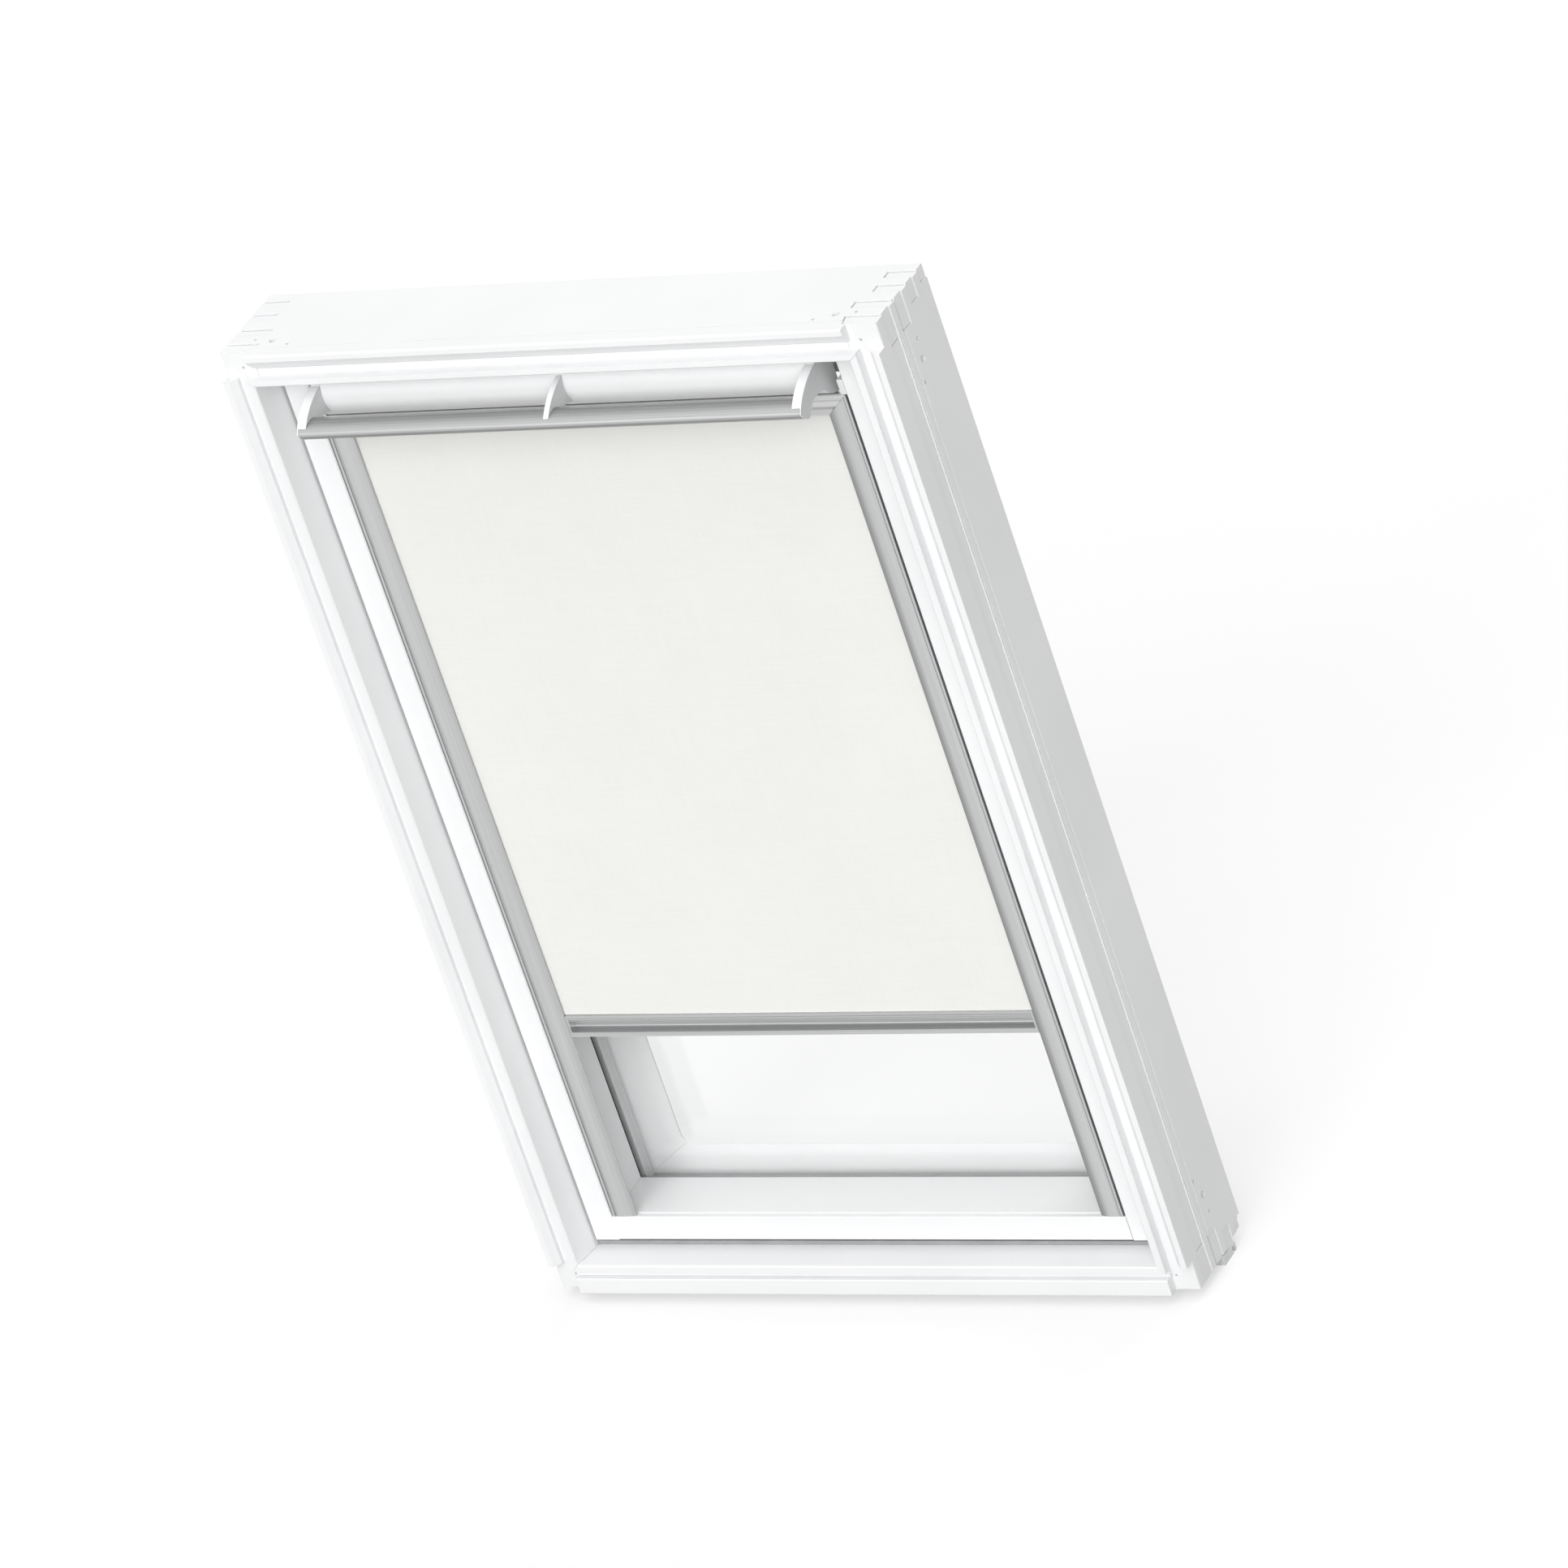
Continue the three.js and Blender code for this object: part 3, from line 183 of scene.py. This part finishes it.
class Shader:
    """A small helper to lay out the nodes of one material or world."""

    def __init__(self, tree):
        self.tree = tree
        tree.nodes.clear()

    def node(self, kind, inputs=(), **settings):
        """A new node. Each input given, by name or number, gets a constant or another node's
        output."""
        node = self.tree.nodes.new(kind)
        for key, value in settings.items():
            setattr(node, key, value)
        for name, value in dict(inputs).items():
            if isinstance(value, bpy.types.NodeSocket):
                self.tree.links.new(value, node.inputs[name])
            else:
                node.inputs[name].default_value = value
        return node

    def math(self, operation, *values):
        return self.node("ShaderNodeMath", enumerate(values), operation=operation).outputs[0]

    def coords(self, scale):
        place = self.node("ShaderNodeTexCoord").outputs["Object"]
        return self.node("ShaderNodeMapping", {"Vector": place, "Scale": scale}).outputs[0]

    def noise(self, per_metre, detail=2.0, roughness=0.5):
        """Noise with about that many features to the metre, for all axes alike or for each."""
        scale = per_metre if isinstance(per_metre, tuple) else (per_metre,) * 3
        inputs = {
            "Vector": self.coords(scale), "Scale": 1.0, "Detail": detail, "Roughness": roughness,
        }
        return self.node("ShaderNodeTexNoise", inputs).outputs["Fac"]

    def spread(self, value, low, high):
        """A noise, stretched over the range from low to high."""
        start, end = NOISE_SPAN
        inputs = {
            "Value": value, "From Min": start, "From Max": end, "To Min": low, "To Max": high,
        }
        return self.node("ShaderNodeMapRange", inputs).outputs["Result"]

    def tint(self, value, dark, light, span=NOISE_SPAN):
        """The dark colour at the span's start, going over into the light one at its end."""
        node = self.node("ShaderNodeValToRGB", {"Fac": value})
        for element, place, colour in zip(node.color_ramp.elements, span, (dark, light)):
            element.position = place
            element.color = (*colour, 1)
        return node.outputs["Color"]

    def paint_shade_by_lean(self, colour, axis, stops):
        """Painted shade and highlight: the colour times a tone that follows how far the piece's
        surface leans along an axis. A lean goes from -1 to 1 and a ramp's place from 0 to 1."""
        normal = self.node("ShaderNodeTexCoord").outputs["Normal"]
        lean = self.node("ShaderNodeSeparateXYZ", {0: normal}).outputs[axis]
        ramp = self.node("ShaderNodeValToRGB", {"Fac": self.math("MULTIPLY_ADD", lean, 0.5, 0.5)})
        elements = ramp.color_ramp.elements
        while len(elements) < len(stops):
            elements.new(1.0)
        for element, (place, tone) in zip(elements, stops):
            element.position = 0.5 + place / 2
            element.color = (tone, tone, tone, 1)
        inputs = {"Factor": 1.0, "A": colour, "B": ramp.outputs["Color"]}
        mix = self.node("ShaderNodeMix", inputs, data_type="RGBA", blend_type="MULTIPLY")
        return mix.outputs["Result"]

    def bump(self, height, strength, distance, under=None):
        inputs = {"Strength": strength, "Distance": distance, "Height": height}
        if under is not None:
            inputs["Normal"] = under
        return self.node("ShaderNodeBump", inputs).outputs["Normal"]

    def mixed(self, share, first, second):
        """The first shader, going over into the second as the share goes from zero to one."""
        inputs = {"Fac": share, 1: first, 2: second}
        return self.node("ShaderNodeMixShader", inputs).outputs[0]

    def seen_directly(self):
        """One where the camera sees it, also in a gloss or through glass, and zero elsewhere."""
        path = self.node("ShaderNodeLightPath").outputs
        seen = self.math("MAXIMUM", path["Is Camera Ray"], path["Is Glossy Ray"])
        return self.math("MAXIMUM", seen, path["Is Transmission Ray"])

    def principled(self, inputs):
        return self.node("ShaderNodeBsdfPrincipled", inputs).outputs[0]

    def output(self, surface):
        self.node("ShaderNodeOutputMaterial", {"Surface": surface})


def new_material(name):
    made = bpy.data.materials.new(name)
    made.use_nodes = True
    return made, Shader(made.node_tree)


def along(axis, across, lengthwise):
    """Scale of a pattern that is drawn out along one axis."""
    return tuple(lengthwise if i == "XYZ".index(axis) else across for i in range(3))


def coated_wood(name, axis, dark, light, rough):
    """White coating over wood: fine orange peel, and the grain just telling through it."""
    made, shader = new_material(name)
    grain = shader.noise(along(axis, across=420, lengthwise=9), detail=3.0, roughness=0.6)
    peel = shader.noise(900)
    cloud = shader.noise(5, detail=3.0)
    fine = shader.bump(peel, strength=0.25, distance=0.03 * MM)
    shader.output(shader.principled({
        "Base Color": shader.tint(cloud, dark, light),
        "Roughness": shader.spread(peel, low=rough - 0.05, high=rough + 0.05),
        "Normal": shader.bump(grain, strength=0.35, distance=0.04 * MM, under=fine),
    }))
    return made


def drawn_metal(name, axis, dark, light, rough, metallic, lines=1500, painted_shade=None):
    """Metal with fine lines along one axis, as from a die or a brush. The lines are counted to the
    metre. The painted shade, if given, darkens and lightens the colour by how the surface leans."""
    made, shader = new_material(name)
    draw = shader.noise(along(axis, across=lines, lengthwise=2.5), roughness=0.7)
    wide = shader.noise(along(axis, across=260, lengthwise=1.2))
    colour = shader.tint(shader.math("MULTIPLY", draw, wide), dark, light, PRODUCT_SPAN)
    # Painted shade and highlight: the colour darkened or lightened by how the surface leans
    if painted_shade:
        colour = shader.paint_shade_by_lean(colour, *painted_shade)
    shader.output(shader.principled({
        "Base Color": colour,
        "Roughness": shader.spread(draw, low=rough - 0.06, high=rough + 0.06),
        "Metallic": metallic,
        "Normal": shader.bump(draw, strength=0.2, distance=0.02 * MM),
    }))
    return made


def coated_sheet(name, dark, light, rough, metallic=0.25):
    """Lacquered sheet metal with a fine even orange peel."""
    made, shader = new_material(name)
    peel = shader.noise(700)
    cloud = shader.noise(6, detail=3.0)
    shader.output(shader.principled({
        "Base Color": shader.tint(cloud, dark, light),
        "Roughness": shader.spread(peel, low=rough - 0.06, high=rough + 0.06),
        "Metallic": metallic,
        "Normal": shader.bump(peel, strength=0.3, distance=0.04 * MM),
    }))
    return made


def moulded(name, dark, light, rough, grain=1400, depth=0.04 * MM, painted_shade=None):
    """Moulded plastic or rubber with a fine eroded grain. The painted shade, if given, darkens and
    lightens the colour by how the surface leans.
    """
    made, shader = new_material(name)
    erosion = shader.noise(grain, detail=3.0, roughness=0.6)
    colour = shader.tint(shader.noise(30), dark, light)
    # Painted shade and highlight: the colour darkened or lightened by how the surface leans
    if painted_shade:
        colour = shader.paint_shade_by_lean(colour, *painted_shade)
    shader.output(shader.principled({
        "Base Color": colour,
        "Roughness": shader.spread(erosion, low=rough - 0.08, high=rough + 0.05),
        "Normal": shader.bump(erosion, strength=0.4, distance=depth),
    }))
    return made


def clear_glass(name):
    """Clear pane that lets lamps through without a shadow, with the faintest ripple."""
    made, shader = new_material(name)
    ripple = shader.noise((7, 7, 3), detail=1.0)
    glass = shader.principled({
        "Base Color": GLASS_COLOUR,
        "Roughness": 0.0,
        "IOR": 1.45,
        "Transmission Weight": 1.0,
        "Normal": shader.bump(ripple, strength=0.05, distance=0.2 * MM),
    })
    clear = shader.node("ShaderNodeBsdfTransparent").outputs[0]
    path = shader.node("ShaderNodeLightPath").outputs
    soft = shader.math("MAXIMUM", path["Is Shadow Ray"], path["Is Diffuse Ray"])
    shader.output(shader.mixed(soft, glass, clear))
    return made


def woven_cloth(name):
    """Plain weave: a thread about every 0.84 mm both ways, uneven in thickness, with a dull soft
    surface."""
    made, shader = new_material(name)
    threads = []
    for direction, scale in (("Z", (0, 0, 1500)), ("X", (1500, 0, 0))):
        wave = shader.node(
            "ShaderNodeTexWave",
            {
                "Vector": shader.coords(scale), "Scale": 0.25, "Distortion": 0.6,
                "Detail": 1.0, "Detail Scale": 0.2,
            },
            wave_type="BANDS",
            bands_direction=direction,
        )
        threads.append(wave.outputs["Fac"])
    weave = shader.math("ADD", *threads)
    warp = shader.noise((900, 60, 25))
    weft = shader.noise((25, 60, 900))
    slub = shader.math("ADD", warp, weft)
    slub_share, cloud_share = 0.5, 0.4
    shade = shader.math(
        "ADD",
        shader.math("MULTIPLY", slub, slub_share),
        shader.math("MULTIPLY", shader.noise(9), cloud_share),
    )
    under = shader.bump(weave, strength=0.3, distance=0.1 * MM)
    shader.output(shader.principled({
        "Base Color": shader.tint(shade, **CLOTH_COLOURS, span=CLOTH_SPAN),
        "Roughness": 0.9,
        "Specular IOR Level": 0.25,
        "Sheen Weight": 0.15,
        "Sheen Roughness": 0.5,
        "Normal": shader.bump(slub, strength=0.12, distance=0.05 * MM, under=under),
    }))
    return made


def make_materials():
    return {
        "lacquer_x": coated_wood("white_lacquer_across", "X", **WHITE_COAT, rough=0.42),
        "lacquer_z": coated_wood("white_lacquer_upright", "Z", **WHITE_COAT, rough=0.42),
        "paint_x": coated_wood("white_paint_across", "X", **WHITE_COAT, rough=0.36),
        "paint_z": coated_wood("white_paint_upright", "Z", **WHITE_COAT, rough=0.36),
        # Control bar: painted shade on its top and underside, painted highlight along the front
        # ridge
        "bar_metal": drawn_metal(
            "bar_metal", "X", dark=(0.52, 0.523, 0.526), light=(0.62, 0.623, 0.626),
            rough=0.45, metallic=0.9, painted_shade=BAR_PAINTED_SHADE,
        ),
        "aluminium_x": drawn_metal(
            "aluminium_across", "X", dark=(0.46, 0.463, 0.466), light=(0.56, 0.563, 0.566),
            rough=0.36, metallic=0.9,
        ),
        # Blind cassette: painted shade underneath, painted highlight on its upward top edge
        "cassette_metal": drawn_metal(
            "cassette_metal", "X", dark=(0.83, 0.833, 0.836), light=(0.96, 0.963, 0.966),
            rough=0.4, metallic=0.9, painted_shade=CASSETTE_PAINTED_SHADE,
        ),
        # Side channels: painted highlight on faces towards the room, painted shade on faces leaning
        # sideways
        "aluminium_z": drawn_metal(
            "aluminium_upright", "Z", dark=(0.54, 0.543, 0.546), light=(0.63, 0.633, 0.636),
            rough=0.38, metallic=0.9, painted_shade=CHANNEL_PAINTED_SHADE,
        ),
        "steel": drawn_metal(
            "brushed_steel", "Z", dark=(0.36, 0.365, 0.37), light=(0.48, 0.485, 0.49),
            rough=0.34, metallic=1.0, lines=900,
        ),
        "screw": drawn_metal(
            "screw_steel", "X", dark=(0.42, 0.425, 0.43), light=(0.55, 0.555, 0.56),
            rough=0.3, metallic=1.0, lines=2500,
        ),
        "cover": coated_sheet(
            "grey_cover_sheet", dark=(0.115, 0.122, 0.13), light=(0.135, 0.142, 0.15), rough=0.42,
        ),
        "flange": coated_sheet(
            "pale_flange", dark=(0.9, 0.905, 0.91), light=(0.93, 0.935, 0.94),
            rough=0.4, metallic=0,
        ),
        "spacer": drawn_metal(
            "spacer_metal", "Z", dark=(0.62, 0.625, 0.63), light=(0.74, 0.745, 0.75),
            rough=0.4, metallic=0.5,
        ),
        "glass": clear_glass("clear_glass"),
        "cloth": woven_cloth("blind_cloth"),
        "plastic": moulded(
            "white_plastic", dark=(0.74, 0.745, 0.745), light=(0.80, 0.805, 0.805), rough=0.42,
        ),
        # Flap arms: painted shade on the side faces, with the front strip left light
        "arm": moulded("arm_plastic", **WHITE_COAT, rough=0.4, painted_shade=ARM_PAINTED_SHADE),
        "grey_rubber": moulded(
            "grey_rubber", dark=(0.30, 0.305, 0.31), light=(0.36, 0.365, 0.37),
            rough=0.7, grain=900, depth=0.08 * MM,
        ),
        "dark_rubber": moulded(
            "dark_rubber", dark=(0.012, 0.012, 0.013), light=(0.022, 0.022, 0.024),
            rough=0.65, grain=900, depth=0.08 * MM,
        ),
        "pin": moulded(
            "filled_pin", dark=(0.50, 0.50, 0.49), light=(0.60, 0.60, 0.59), rough=0.6,
        ),
    }


# Material and edge of each CAD node: the first row whose start fits the node's name. The solid of
# the cloth isn't shown, since the sheet stands in for it.
NODE_FINISHES = (
    ("frame_side", "lacquer_z", PAINT_EDGE),
    ("frame_strip", "lacquer_x", PAINT_EDGE),
    ("frame_seal", "grey_rubber", METAL_EDGE),
    ("frame_cover", "cover", METAL_EDGE),
    ("frame_", "lacquer_x", PAINT_EDGE),
    ("corner_pin", "pin", 0),
    ("drip_bar", "plastic", PAINT_EDGE),
    ("pivot_plate", "steel", METAL_EDGE),
    ("sash_pivot", "steel", METAL_EDGE),
    ("sash_stile", "paint_z", PAINT_EDGE),
    ("sash_rail", "paint_x", PAINT_EDGE),
    ("sash_cover", "flange", METAL_EDGE),
    ("lock_", "steel", METAL_EDGE),
    ("glass_spacer_top", "aluminium_x", 0),
    ("glass_spacer_bottom", "aluminium_x", 0),
    ("glass_spacer", "spacer", 0),
    ("glass_", "glass", 0),
    ("glazing_gasket_bottom", "grey_rubber", 0),
    ("glazing_gasket", "dark_rubber", 0),
    ("flap_axle", "arm", 0),
    ("flap_arm", "arm", METAL_EDGE),
    ("flap_", "paint_x", METAL_EDGE),
    ("control_bar", "bar_metal", FINE_EDGE),
    ("blind_cassette", "cassette_metal", FINE_EDGE),
    ("blind_bar", "aluminium_x", FINE_EDGE),
    ("blind_bracket", "plastic", METAL_EDGE),
    ("blind_fabric", "cloth", 0),
    ("cassette_cap", "plastic", METAL_EDGE),
    ("roller_tube", "cloth", 0),
    ("side_channel", "aluminium_z", FINE_EDGE),
    ("bar_runner", "plastic", METAL_EDGE),
)


def make_smooth_group():
    """Geometry nodes that shade smooth, but keep edges sharper than the limit."""
    group = bpy.data.node_groups.new("smooth_by_angle", "GeometryNodeTree")
    for in_out in ("INPUT", "OUTPUT"):
        group.interface.new_socket("Geometry", in_out=in_out, socket_type="NodeSocketGeometry")
    nodes, links = group.nodes, group.links
    start = nodes.new("NodeGroupInput")
    end = nodes.new("NodeGroupOutput")
    faces = nodes.new("GeometryNodeSetShadeSmooth")
    faces.domain = "FACE"
    edges = nodes.new("GeometryNodeSetShadeSmooth")
    edges.domain = "EDGE"
    angle = nodes.new("GeometryNodeInputMeshEdgeAngle")
    below = nodes.new("FunctionNodeCompare")
    below.operation = "LESS_THAN"
    below.inputs["B"].default_value = SHARP_ANGLE
    links.new(start.outputs[0], faces.inputs["Geometry"])
    links.new(faces.outputs["Geometry"], edges.inputs["Geometry"])
    links.new(angle.outputs["Unsigned Angle"], below.inputs["A"])
    links.new(below.outputs[0], edges.inputs["Shade Smooth"])
    links.new(edges.outputs["Geometry"], end.inputs[0])
    return group


def shade_smooth(obj, group):
    obj.modifiers.new("smooth", "NODES").node_group = group


def dress_nodes(materials, smooth):
    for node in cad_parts:
        obj = bpy.data.objects[node]
        finish, edge = next(row[1:] for row in NODE_FINISHES if node.startswith(row[0]))
        for slot in obj.material_slots:
            slot.material = materials[finish]
        if edge > 0:
            bevel = obj.modifiers.new("edges", "BEVEL")
            bevel.width = edge
            bevel.segments = BEVEL_SEGMENTS
            bevel.limit_method = "ANGLE"
            bevel.angle_limit = SHARP_ANGLE
            bevel.miter_outer = "MITER_ARC"
        shade_smooth(obj, smooth)


def new_piece(name, grow, finish):
    """A new piece in one material. The function grow fills its mesh."""
    work = bmesh.new()
    grow(work)
    bmesh.ops.recalc_face_normals(work, faces=work.faces)
    mesh = bpy.data.meshes.new(name)
    work.to_mesh(mesh)
    work.free()
    mesh.materials.append(finish)
    obj = bpy.data.objects.new(name, mesh)
    bpy.context.scene.collection.objects.link(obj)
    return obj


def make_fabric(finish):
    """The cloth between the roll and the hem bar: taut, so its rows lie only at its two ends. Each
    of its two sides lies a quarter of the solid's thickness from the solid's middle."""
    low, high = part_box("blind_fabric")
    middle = (low.y + high.y) / 2
    offset = (high.y - low.y) / 4
    heights = (high.z, high.z - CLOTH_END_ROW, low.z + CLOTH_END_ROW, low.z)
    places = [low.x + (high.x - low.x) * i / CLOTH_COLUMNS for i in range(CLOTH_COLUMNS + 1)]

    def grow(work):
        sides = []
        for y in (middle - offset, middle + offset):
            rows = [[work.verts.new((x, y, z)) for x in places] for z in heights]
            for upper, lower in zip(rows, rows[1:]):
                for i in range(CLOTH_COLUMNS):
                    work.faces.new((upper[i], upper[i + 1], lower[i + 1], lower[i]))
            sides.append(rows)
        room, weather = sides
        for r in range(len(heights) - 1):
            for i in (0, CLOTH_COLUMNS):
                work.faces.new((room[r][i], room[r + 1][i], weather[r + 1][i], weather[r][i]))
        for r in (0, len(heights) - 1):
            for i in range(CLOTH_COLUMNS):
                work.faces.new((room[r][i], room[r][i + 1], weather[r][i + 1], weather[r][i]))

    sheet = new_piece("blind_sheet", grow, finish)
    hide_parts("blind_fabric")
    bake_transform(sheet)


def screw_head(name, body, place, out, spin, radius, height, finish, smooth):
    """A low round head with a cross recess, its underside on the place given and its top towards
    out."""
    facing = Vector(out).to_track_quat("Z", "Y").to_matrix().to_4x4()
    where = Matrix.Translation(place) @ facing @ Matrix.Rotation(spin, 4, "Z")
    angles = [2 * math.pi * i / HEAD_SEGMENTS for i in range(HEAD_SEGMENTS)]

    def cross(angle):
        shorter, longer = sorted((abs(math.cos(angle)), abs(math.sin(angle))))
        half_slot = RECESS_HALF_SLOT * radius
        return min(RECESS_ARM * radius / longer, half_slot / max(shorter, TINY))

    recess = [cross(angle) for angle in angles]
    floor_height = RECESS_FLOOR * height
    outline = [([share * radius] * HEAD_SEGMENTS, rise * height) for share, rise in HEAD_OUTLINE]
    outline += [(recess, height), (recess, floor_height)]

    def grow(work):
        rings = [
            [
                work.verts.new(where @ Vector((r * math.cos(a), r * math.sin(a), rise)))
                for r, a in zip(reaches, angles)
            ]
            for reaches, rise in outline
        ]
        for lower, upper in zip(rings, rings[1:]):
            for i in range(HEAD_SEGMENTS):
                j = (i + 1) % HEAD_SEGMENTS
                work.faces.new((lower[i], lower[j], upper[j], upper[i]))
        for ring, rise in ((rings[0], 0), (rings[-1], floor_height)):
            middle = work.verts.new(where @ Vector((0, 0, rise)))
            for i in range(HEAD_SEGMENTS):
                work.faces.new((ring[i], ring[(i + 1) % HEAD_SEGMENTS], middle))

    obj = new_piece(name, grow, finish)
    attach(obj, body)
    shade_smooth(obj, smooth)


def make_screws(finish, smooth):
    """Pan heads in the side covers on the weather side, flush heads in the four pivot plates."""
    look = {"finish": finish, "smooth": smooth}
    for side, name in ((-1, "left"), (1, "right")):
        low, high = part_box(f"frame_cover_{name}")
        x = side * (max(abs(low.x), abs(high.x)) - COVER_SCREW_INSET)
        for i, share in enumerate(COVER_SCREW_SHARES):
            screw_head(
                f"cover_screw_{name}_{i + 1}",
                "frame",
                place=(x, high.y, low.z + share * (high.z - low.z)),
                out=(0, 1, 0),
                spin=COVER_SCREW_TURN * i,
                **COVER_SCREW,
                **look,
            )
        low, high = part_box(f"pivot_plate_{name}")
        plate_face = min(abs(low.x), abs(high.x))
        for part, body, face, towards in (
            ("pivot_plate", "frame", plate_face, -side),
            ("sash_pivot", "sash", plate_face - PLATE_GAP, side),
        ):
            low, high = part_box(f"{part}_{name}")
            for i, (depth_share, height_share) in enumerate(PLATE_SCREW_PLACES):
                y = (low.y + high.y) / 2 + depth_share * (high.y - low.y)
                screw_head(
                    f"{part}_screw_{name}_{i + 1}",
                    body,
                    place=(side * face, y, height_share * high.z),
                    out=(towards, 0, 0),
                    spin=PLATE_SCREW_TURN * i,
                    **PLATE_SCREW,
                    **look,
                )


def make_floor():
    """The floor: a wide pale disc level with the window's lowest edge. It looks white, with the
    window's soft shadow, and throws back less light than that."""
    made, shader = new_material("pale_floor")
    paint = shader.principled({
        "Base Color": shader.tint(shader.noise(1.5), **FLOOR_PAINT),
        "Roughness": 0.9,
        "Specular IOR Level": 0.1,
    })
    glow = shader.node("ShaderNodeEmission", {"Color": PURE_WHITE, "Strength": FLOOR_GLOW})
    pale = shader.mixed(FLOOR_GLOW_SHARE, paint, glow.outputs[0])
    dull = shader.node("ShaderNodeBsdfDiffuse", {"Color": FLOOR_DULL}).outputs[0]
    shader.output(shader.mixed(shader.seen_directly(), dull, pale))
    level = Matrix.Translation((0, 0, CAD_BOX[0][2]))

    def grow(work):
        bmesh.ops.create_circle(
            work, cap_ends=True, segments=FLOOR_SEGMENTS, radius=FLOOR_RADIUS, matrix=level
        )

    new_piece("floor", grow, made)


def make_world():
    world = bpy.data.worlds.new("studio")
    bpy.context.scene.world = world
    world.use_nodes = True
    shader = Shader(world.node_tree)
    light, seen = (
        shader.node("ShaderNodeBackground", {"Color": PURE_WHITE, "Strength": strength}).outputs[0]
        for strength in (WORLD_LIGHT, WORLD_SEEN)
    )
    surface = shader.mixed(shader.seen_directly(), light, seen)
    shader.node("ShaderNodeOutputWorld", {"Surface": surface})


make_camera()
make_world()
make_suns()
make_floor()
finishes = make_materials()
smooth_group = make_smooth_group()
dress_nodes(finishes, smooth_group)
make_fabric(finishes["cloth"])
make_screws(finishes["screw"], smooth_group)
bpy.context.scene.view_settings.view_transform = "Standard"
